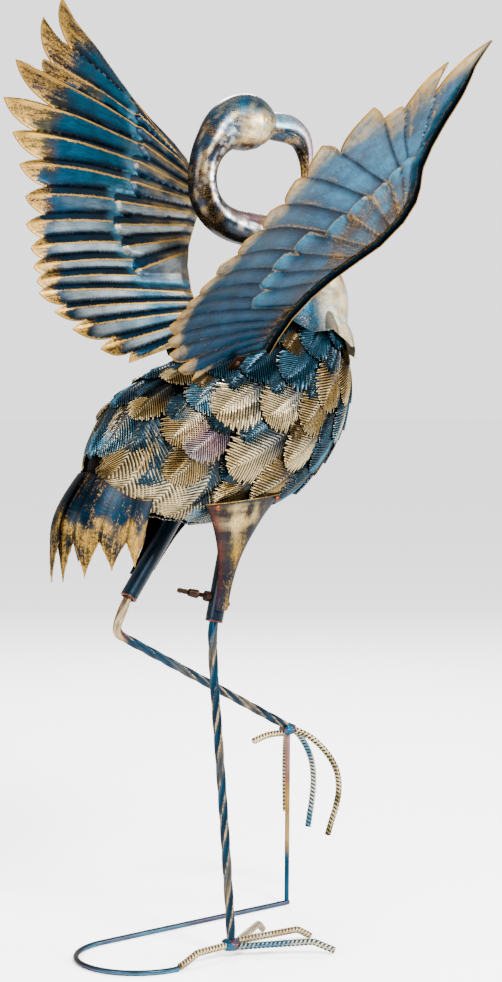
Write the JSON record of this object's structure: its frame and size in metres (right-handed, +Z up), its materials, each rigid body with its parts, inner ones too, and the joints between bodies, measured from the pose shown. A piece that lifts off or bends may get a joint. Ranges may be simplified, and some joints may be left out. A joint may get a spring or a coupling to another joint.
{
  "type": "garden sculpture",
  "caption": "Standing flamingo yard ornament of painted sheet metal and bent rod, wings raised, one leg lifted, resting on a flat wire loop.",
  "frame": {"origin": "on the ground, under the middle of the whole figure's box", "axes": "+Z up, the bird's breast faces -Y, its left side is +X and its raised leg is on +X"},
  "size_m": [0.6032, 0.4372, 1.0587],
  "materials": {
    "wing_paint": "teal blue patina with gold dry brushed tips, semi gloss",
    "leaf_paint": "cream, gold, pink and teal patina over black, semi gloss",
    "body_paint": "matt black",
    "neck_paint": "teal, violet and cream patina with dark speckles, semi gloss",
    "bill_paint": "lilac silver above the mouth and speckled teal and brown below, semi gloss",
    "tail_paint": "teal patina with a gold band, semi gloss",
    "thigh_paint": "teal with violet edges and a gold streak, semi gloss",
    "tube_paint": "dark plum with copper rims, semi gloss",
    "leg_paint": "blue grey and bronze patina, semi gloss",
    "toe_paint": "silver beige brushed over black, semi gloss",
    "weld_paint": "teal with copper highlights, semi gloss",
    "wire_paint": "blue grey, semi gloss",
    "screw_paint": "dark bronze, semi gloss"
  },
  "bodies": {
    "root": {"base_loop": "wire_paint", "bill": "bill_paint", "body_shell": "body_paint", "hip_tube_left": "tube_paint", "hip_tube_right": "tube_paint", "leaf_feathers_row_1": "leaf_paint", "leaf_feathers_row_2": "leaf_paint", "leaf_feathers_row_3": "leaf_paint", "leaf_feathers_row_4": "leaf_paint", "leaf_feathers_row_5": "leaf_paint", "leaf_feathers_row_6": "leaf_paint", "leaf_feathers_row_7": "leaf_paint", "leaf_feathers_row_8": "leaf_paint", "neck_head_chest": "neck_paint", "raised_foot_weld": "weld_paint", "raised_leg": "leg_paint", "raised_toe_back": "toe_paint", "raised_toe_inner": "toe_paint", "raised_toe_middle": "toe_paint", "raised_toe_outer": "toe_paint", "standing_foot_weld": "weld_paint", "standing_leg": "leg_paint", "standing_toe_back": "toe_paint", "standing_toe_inner": "toe_paint", "standing_toe_middle": "toe_paint", "standing_toe_outer": "toe_paint", "support_rod": "wire_paint", "tail_sheet_left": "tail_paint", "tail_sheet_right": "tail_paint", "thigh_cover_left": "thigh_paint", "thigh_cover_right": "thigh_paint", "thigh_screw_left_front": "screw_paint", "thigh_screw_left_rear": "screw_paint", "thigh_screw_right_front": "screw_paint", "thigh_screw_right_rear": "screw_paint", "thumb_screw_left": "screw_paint", "thumb_screw_left_handle": "screw_paint", "thumb_screw_right": "screw_paint", "thumb_screw_right_handle": "screw_paint", "wing_bracket_left": "tube_paint", "wing_bracket_right": "tube_paint", "wing_left": "wing_paint", "wing_right": "wing_paint"}
  },
  "joints": []
}
